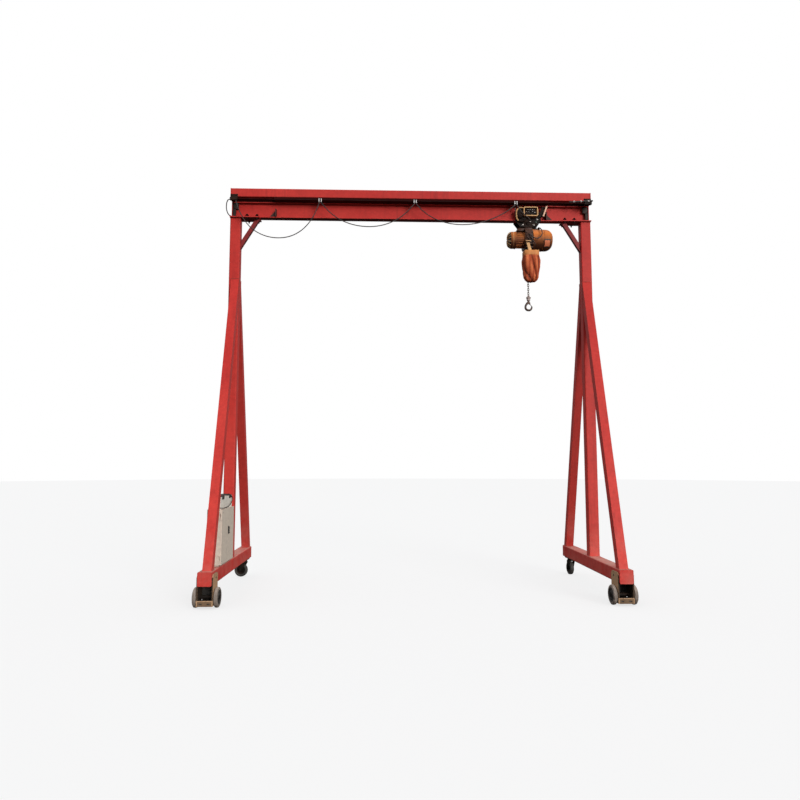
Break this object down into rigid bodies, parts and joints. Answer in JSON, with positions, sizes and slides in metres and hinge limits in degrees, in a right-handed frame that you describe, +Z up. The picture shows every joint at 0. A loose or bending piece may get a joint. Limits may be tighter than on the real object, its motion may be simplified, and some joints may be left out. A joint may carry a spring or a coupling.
{
  "type": "gantry crane",
  "caption": "Red portal gantry crane with A-frame legs on rollers and castors, an I-beam runway, festoon cable, trolley and electric chain hoist.",
  "frame": {"origin": "on the floor under the middle of the main beam, midway between the legs", "axes": "+X along the beam towards the hoist, -Y towards the festoon cable and the front wheels, +Z up"},
  "size_m": [4.768, 2.2011, 5],
  "materials": {
    "red_paint": "gloss paint, sun-faded and dusty",
    "brown_primer": "worn primer",
    "tyre_rubber": "dusty black",
    "dark_steel": "dark, greasy",
    "stop_steel": "worn paint",
    "cabinet_grey": "powder coat",
    "black_plastic": "moulded",
    "hoist_paint": "orange-yellow enamel",
    "black_paint": "satin",
    "bag_fabric": "coated cloth",
    "bright_steel": "zinc plated",
    "hook_steel": "forged, blackened",
    "cable_black": "cable sheath"
  },
  "bodies": {
    "frame": {"i_beam": "red_paint", "beam_cap": "red_paint", "cap_under_box": "red_paint", "cap_packings": "red_paint", "beam_end_plates": "red_paint", "saddle_plates": "red_paint", "post_left": "red_paint", "post_right": "red_paint", "front_diagonal_left": "red_paint", "front_diagonal_right": "red_paint", "rear_diagonal_left": "red_paint", "rear_diagonal_right": "red_paint", "knee_braces": "red_paint", "bottom_rail_left": "red_paint", "bottom_rail_right": "red_paint", "front_bracket_left": "brown_primer", "front_bracket_right": "brown_primer", "castor_plates": "dark_steel", "trolley_stops": "stop_steel", "guide_wire": "bright_steel", "wire_brackets": "dark_steel", "cabinet_body": "cabinet_grey", "cabinet_head": "cabinet_grey", "cabinet_cable": "cable_black", "end_cables": "cable_black", "festoon_loop_1": "cable_black"},
    "front_wheels_left": {"front_wheels_left": "tyre_rubber", "front_axle_left": "dark_steel"},
    "front_wheels_right": {"front_wheels_right": "tyre_rubber", "front_axle_right": "dark_steel"},
    "castor_fork_left": {"castor_fork_left": "dark_steel"},
    "castor_fork_right": {"castor_fork_right": "dark_steel"},
    "castor_wheel_left": {"castor_wheel_left": "tyre_rubber"},
    "castor_wheel_right": {"castor_wheel_right": "tyre_rubber"},
    "cabinet_door": {"cabinet_door": "cabinet_grey", "door_handle": "black_plastic"},
    "trolley": {"trolley_side_plates": "dark_steel", "bumper_bracket": "dark_steel", "trolley_wheels": "dark_steel", "suspension_bar": "dark_steel", "trolley_gearbox": "hoist_paint", "trolley_box": "hoist_paint", "hoist_housing": "hoist_paint", "hoist_motor": "hoist_paint", "motor_fan_cap": "black_paint", "control_cover": "hoist_paint", "bag_hanger": "hoist_paint", "chain_bag": "bag_fabric", "tow_clip": "black_plastic", "trolley_cable": "cable_black", "hoist_cable": "cable_black", "load_chain": "bright_steel"},
    "festoon_clip_1": {"festoon_clip_1": "black_plastic", "festoon_loop_2": "cable_black"},
    "festoon_clip_2": {"festoon_clip_2": "black_plastic", "festoon_loop_3": "cable_black"},
    "hook_block": {"hook_block": "bright_steel"},
    "hook": {"hook": "hook_steel"},
    "hook_latch": {"hook_latch": "bright_steel"}
  },
  "joints": [
    {"name": "trolley_travel", "type": "slide", "parent": "frame", "child": "trolley", "axis": [1, 0, 0], "range_m": [-3.055, 0], "deforming": ["festoon_loop_1", "festoon_loop_2", "festoon_loop_3"]},
    {"name": "clip_1_slide", "type": "slide", "parent": "frame", "child": "festoon_clip_1", "axis": [1, 0, 0], "range_m": [-0.924, 0]},
    {"name": "clip_2_slide", "type": "slide", "parent": "frame", "child": "festoon_clip_2", "axis": [1, 0, 0], "range_m": [-1.952, 0]},
    {"name": "hook_lift", "type": "slide", "parent": "trolley", "child": "hook_block", "axis": [0, 0, 1], "range_m": [-3.25, 0.5], "deforming": ["load_chain"]},
    {"name": "hook_swivel", "type": "hinge", "parent": "hook_block", "child": "hook", "pos_m": [1.5, 0, 3.6126], "axis": [0, 0, 1], "continuous": true},
    {"name": "latch_hinge", "type": "hinge", "parent": "hook", "child": "hook_latch", "pos_m": [1.51581, 0, 3.56632], "axis": [0, 1, 0], "range_deg": [0, 35], "stiffness_Nm_per_rad": 0.02},
    {"name": "cabinet_door_hinge", "type": "hinge", "parent": "frame", "child": "cabinet_door", "pos_m": [-2.1665, -0.765, 0.6], "axis": [0, 0, -1], "range_deg": [0, 110]},
    {"name": "front_wheels_left_roll", "type": "hinge", "parent": "frame", "child": "front_wheels_left", "pos_m": [-2.25, -0.97, 0.1075], "axis": [1, 0, 0], "continuous": true},
    {"name": "front_wheels_right_roll", "type": "hinge", "parent": "frame", "child": "front_wheels_right", "pos_m": [2.25, -0.97, 0.1075], "axis": [1, 0, 0], "continuous": true},
    {"name": "castor_left_swivel", "type": "hinge", "parent": "frame", "child": "castor_fork_left", "pos_m": [-2.25, 0.975, 0.2], "axis": [0, 0, 1], "continuous": true},
    {"name": "castor_left_roll", "type": "hinge", "parent": "castor_fork_left", "child": "castor_wheel_left", "pos_m": [-2.28474, 0.97927, 0.09], "axis": [0.1219, 0.9925, 0], "continuous": true},
    {"name": "castor_right_swivel", "type": "hinge", "parent": "frame", "child": "castor_fork_right", "pos_m": [2.25, 0.975, 0.2], "axis": [0, 0, 1], "continuous": true},
    {"name": "castor_right_roll", "type": "hinge", "parent": "castor_fork_right", "child": "castor_wheel_right", "pos_m": [2.24756, 1.00991, 0.09], "axis": [0.9976, 0.0698, 0], "continuous": true}
  ],
  "couplings": [
    {"joint": "clip_1_slide", "follows": "trolley_travel", "ratio": 0.3018},
    {"joint": "clip_2_slide", "follows": "trolley_travel", "ratio": 0.6383}
  ]
}
